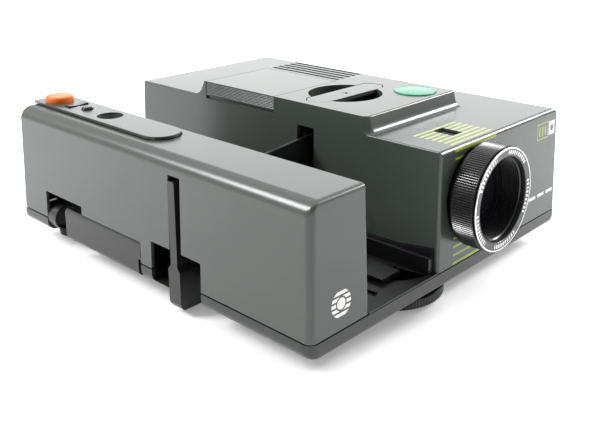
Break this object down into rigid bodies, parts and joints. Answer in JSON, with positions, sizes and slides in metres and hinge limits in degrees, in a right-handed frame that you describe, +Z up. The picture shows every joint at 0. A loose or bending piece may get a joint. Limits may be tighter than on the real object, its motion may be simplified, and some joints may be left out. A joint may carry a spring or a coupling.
{
  "type": "slide projector",
  "caption": "Slide projector with a wide lamp and lens housing, an open channel for a straight slide tray, and a narrow changer housing with lever, handle and buttons.",
  "frame": {"origin": "centre of the bounding box footprint at table level, with the feet resting on z = 0", "axes": "+Z up, the lens faces -Y, the lamp housing is on the +X side and the changer housing on the -X side"},
  "size_m": [0.2548, 0.306, 0.1086],
  "materials": {
    "cover_grey": "fine satin texture, smoke grey",
    "base_grey": "fine matte texture, darker grey",
    "dark_grey": "matte dark grey",
    "black_plastic": "satin black",
    "gloss_black": "polished black",
    "rubber": "matte black rubber",
    "steel": "plain sheet and bar",
    "black_steel": "matt black paint on sheet steel",
    "aluminium": "bare sheet",
    "bezel": "black enamel with a bare silver rim and scale ticks",
    "orange": "smooth orange",
    "green": "translucent turquoise green",
    "glass": "polished, coated",
    "ivory": "natural nylon",
    "ceramic": "pressed ceramic",
    "board": "solder resist green",
    "copper": "enamelled winding wire"
  },
  "bodies": {
    "base": {"base_tray": "base_grey", "tray_channel": "black_plastic", "changer_cover": "cover_grey", "grip_liner": "black_plastic", "handle_liner": "black_plastic", "handle_boss": "dark_grey", "control_panel": "cover_grey", "remote_socket": "black_plastic", "panel_board": "board", "drive_motor": "steel", "lamp_cover": "cover_grey", "indicator_window": "gloss_black", "lens_holder": "black_plastic", "gate_frame": "black_steel", "optics_carrier": "aluminium", "condenser_front": "glass", "heat_filter": "glass", "condenser_rear": "glass", "lamp_house": "aluminium", "lamp_socket": "ceramic", "lamp_bulb": "glass", "reflector": "aluminium", "fan_frame": "black_plastic", "fan_motor": "steel", "transformer_core": "steel", "transformer_coil": "copper", "circuit_board": "board", "capacitor_large": "gloss_black", "capacitor_small": "gloss_black", "power_inlet": "black_plastic", "rear_foot_left": "rubber", "rear_foot_right": "rubber"},
    "changer_arm": {"changer_arm": "dark_grey", "pusher_plate": "black_plastic"},
    "rack_pinion": {"rack_pinion": "ivory"},
    "carry_handle": {"carry_handle": "dark_grey"},
    "lamp_lid": {"lamp_lid": "cover_grey"},
    "gate_insert": {"gate_insert": "cover_grey"},
    "lens_carriage": {"lens_barrel": "black_plastic", "front_bezel": "bezel", "front_glass": "glass", "rear_glass": "glass"},
    "focus_ring": {"focus_ring": "black_plastic"},
    "foot_pad": {"foot_pad": "rubber"},
    "foot_wheel": {"foot_wheel": "black_plastic"},
    "advance_button": {"advance_button": "orange"},
    "reverse_button": {"reverse_button": "gloss_black"},
    "focus_rocker": {"focus_rocker": "gloss_black"},
    "power_button": {"power_button": "green"},
    "fan_wheel": {"fan_wheel": "dark_grey"},
    "tray_gear": {"tray_gear": "ivory"}
  },
  "joints": [
    {"name": "arm_slide", "type": "slide", "parent": "base", "child": "changer_arm", "axis": [-1, 0, 0], "range_m": [0, 0.072]},
    {"name": "pinion_spin", "type": "hinge", "parent": "base", "child": "rack_pinion", "pos_m": [-0.0922, -0.0256, 0.0284], "axis": [0, 1, 0], "range_deg": [-575, 0]},
    {"name": "handle_slide", "type": "slide", "parent": "base", "child": "carry_handle", "axis": [-1, 0, 0], "range_m": [0, 0.03]},
    {"name": "lid_hinge", "type": "hinge", "parent": "base", "child": "lamp_lid", "pos_m": [0.0476, 0.0389, 0.1073], "axis": [0, 1, 0], "range_deg": [0, 75]},
    {"name": "insert_lift", "type": "slide", "parent": "base", "child": "gate_insert", "axis": [0, 0, 1], "range_m": [0, 0.055]},
    {"name": "lens_slide", "type": "slide", "parent": "base", "child": "lens_carriage", "axis": [0, -1, 0], "range_m": [0, 0.012]},
    {"name": "focus_turn", "type": "hinge", "parent": "lens_carriage", "child": "focus_ring", "pos_m": [0.0193, -0.1431, 0.0638], "axis": [0, 1, 0], "range_deg": [0, 120.5]},
    {"name": "foot_slide", "type": "slide", "parent": "base", "child": "foot_pad", "axis": [0, 0, -1], "range_m": [0, 0.0121]},
    {"name": "foot_turn", "type": "hinge", "parent": "foot_pad", "child": "foot_wheel", "pos_m": [-0.0174, -0.0971, 0.006], "axis": [0, 0, 1], "range_deg": [0, 1080]},
    {"name": "advance_press", "type": "slide", "parent": "base", "child": "advance_button", "axis": [0, 0, -1], "range_m": [0, 0.0025], "stiffness_N_per_m": 400},
    {"name": "reverse_press", "type": "slide", "parent": "base", "child": "reverse_button", "axis": [0, 0, -1], "range_m": [0, 0.0015], "stiffness_N_per_m": 250},
    {"name": "rocker_tilt", "type": "hinge", "parent": "base", "child": "focus_rocker", "pos_m": [-0.1004, 0.1125, 0.0962], "axis": [0, 1, 0], "range_deg": [-7, 7], "stiffness_Nm_per_rad": 0.05},
    {"name": "power_press", "type": "slide", "parent": "base", "child": "power_button", "axis": [0, 0, -1], "range_m": [0, 0.003], "stiffness_N_per_m": 600},
    {"name": "fan_spin", "type": "hinge", "parent": "base", "child": "fan_wheel", "pos_m": [0.1086, 0.0929, 0.058], "axis": [1, 0, 0], "continuous": true},
    {"name": "tray_gear_spin", "type": "hinge", "parent": "base", "child": "tray_gear", "pos_m": [-0.032, -0.0411, 0.024], "axis": [0, 0, 1], "continuous": true}
  ],
  "couplings": [
    {"joint": "pinion_spin", "follows": "arm_slide", "rad_per_m": -138.9},
    {"joint": "focus_turn", "follows": "lens_slide", "rad_per_m": 174.53},
    {"joint": "foot_slide", "follows": "foot_turn", "m_per_rad": 0.0006366}
  ]
}
